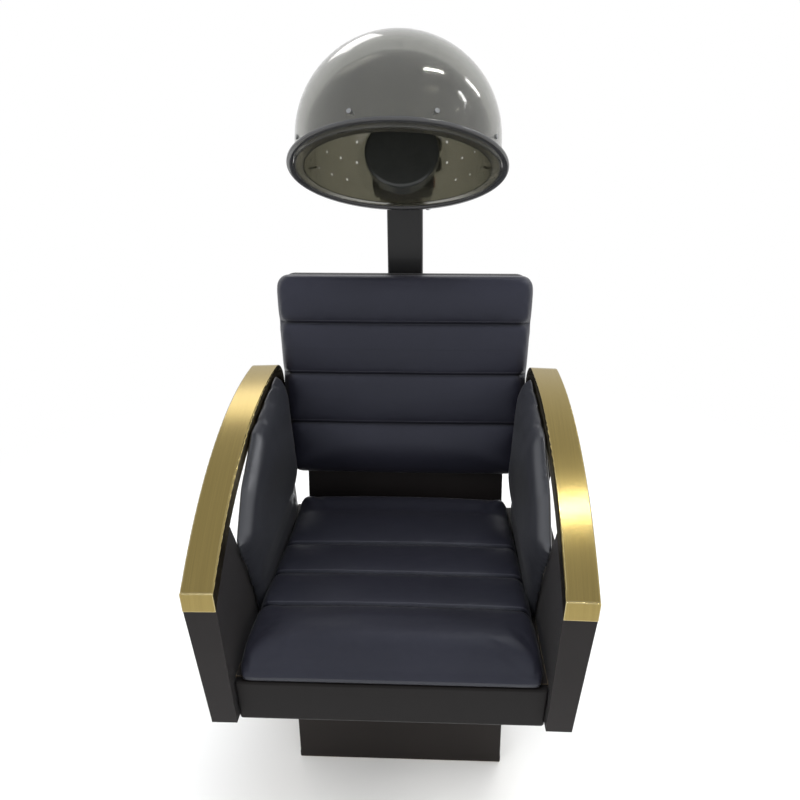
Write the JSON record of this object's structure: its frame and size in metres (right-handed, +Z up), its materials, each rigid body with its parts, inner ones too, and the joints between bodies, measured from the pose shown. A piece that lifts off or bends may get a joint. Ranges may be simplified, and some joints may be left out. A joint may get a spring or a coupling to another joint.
{
  "type": "hooded dryer chair",
  "caption": "Salon armchair on a box pedestal with a dome hood dryer on a height-adjustable post behind its back.",
  "frame": {"origin": "on the floor, under the middle of the box pedestal", "axes": "+Z up, the sitter looks along -Y, +X to the right as seen from the front"},
  "size_m": [0.6464, 0.7397, 1.3778],
  "materials": {
    "black_leather": "smooth black upholstery vinyl with a blue sheen",
    "leather_back": "smooth black vinyl over a thin rear panel",
    "board": "bare birch plywood",
    "dust_cloth": "thin black lining cloth",
    "brushed_gold": "brushed gold finish with a satin clear coat",
    "charcoal_paint": "satin charcoal powder coat",
    "zinc_steel": "zinc plated",
    "chrome_lever": "bright chrome",
    "smoked_shell": "smoked clear plastic, glossy",
    "smoked_bowl": "smoked perforated plastic",
    "gloss_black": "glossy black moulding",
    "matt_black": "fine matt moulding",
    "rocker_red": "translucent red switch cap",
    "lamp_lens": "amber lens",
    "mica": "pale mica sheet",
    "heater_wire": "bare resistance wire",
    "motor_steel": "pressed steel can"
  },
  "bodies": {
    "chair": {"floor_glides": "matt_black", "base_bottom_board": "board", "base_front_panel": "board", "base_rear_panel": "board", "base_side_panels": "board", "base_top_board": "board", "base_cover": "black_leather", "seat_mount_plate": "charcoal_paint", "seat_cross_rails": "board", "seat_side_rails": "board", "seat_bearers": "board", "seat_deck": "board", "front_apron": "black_leather", "seat_dust_cover": "dust_cloth", "seat_cushion": "black_leather", "backrest_cushion": "black_leather", "backrest_board": "board", "backrest_rear_cover": "leather_back", "back_riser": "black_leather", "post_spacer": "charcoal_paint", "arm_panel_left": "black_leather", "armrest_strap_left": "brushed_gold", "arm_side_pad_left": "black_leather", "arm_panel_right": "black_leather", "armrest_strap_right": "brushed_gold", "arm_side_pad_right": "black_leather", "armrest_caps": "brushed_gold", "post_sleeve": "charcoal_paint", "sleeve_liners": "matt_black", "post_brackets": "charcoal_paint", "clamp_boss": "charcoal_paint", "frame_bolts": "zinc_steel"},
    "clamp_knob": {"clamp_knob": "matt_black"},
    "mast": {"mast": "charcoal_paint", "mast_head": "charcoal_paint", "hinge_pin": "zinc_steel", "friction_washers": "zinc_steel"},
    "tilt_lever": {"tilt_lever": "chrome_lever"},
    "hood": {"hood_shell": "smoked_shell", "rim_ring": "gloss_black", "hood_screws": "zinc_steel", "inner_bowl": "smoked_bowl", "fan_cover": "gloss_black", "heater_frame": "mica", "heater_coils": "heater_wire", "fan_motor": "motor_steel", "motor_bracket": "charcoal_paint", "heat_limiter": "heater_wire", "rear_housing": "gloss_black", "intake_grilles": "matt_black", "hinge_bracket": "charcoal_paint", "cable_gland": "matt_black", "dial_switches": "matt_black", "switch_frame": "matt_black", "pilot_lamp": "lamp_lens"},
    "fan": {"fan_wheel": "matt_black"},
    "timer_dial": {"timer_dial": "matt_black"},
    "heat_dial": {"heat_dial": "matt_black"},
    "rocker": {"rocker_switch": "rocker_red"}
  },
  "joints": [
    {"name": "mast_slide", "type": "slide", "parent": "chair", "child": "mast", "axis": [0, 0, 1], "range_m": [0, 0.25]},
    {"name": "hood_tilt", "type": "hinge", "parent": "mast", "child": "hood", "pos_m": [0, 0.23, 1.0937], "axis": [1, 0, 0], "range_deg": [-10, 35]},
    {"name": "tilt_lever_turn", "type": "hinge", "parent": "mast", "child": "tilt_lever", "pos_m": [0.03, 0.23, 1.0937], "axis": [1, 0, 0], "range_deg": [0, 60]},
    {"name": "clamp_knob_turn", "type": "hinge", "parent": "chair", "child": "clamp_knob", "pos_m": [0, 0.278, 0.842], "axis": [0, 1, 0], "range_deg": [0, 360]},
    {"name": "fan_spin", "type": "hinge", "parent": "hood", "child": "fan", "pos_m": [0, 0.12874, 1.15116], "axis": [0, 0.8241, -0.5664], "continuous": true},
    {"name": "timer_turn", "type": "hinge", "parent": "hood", "child": "timer_dial", "pos_m": [0.061, 0.19924, 1.15488], "axis": [-1, 0, 0], "range_deg": [0, 300]},
    {"name": "heat_turn", "type": "hinge", "parent": "hood", "child": "heat_dial", "pos_m": [0.061, 0.17715, 1.12274], "axis": [-1, 0, 0], "range_deg": [0, 270]},
    {"name": "rocker_tip", "type": "hinge", "parent": "hood", "child": "rocker", "pos_m": [0.054, 0.14517, 1.0974], "axis": [0, 0.8241, -0.5664], "range_deg": [0, 16]}
  ]
}
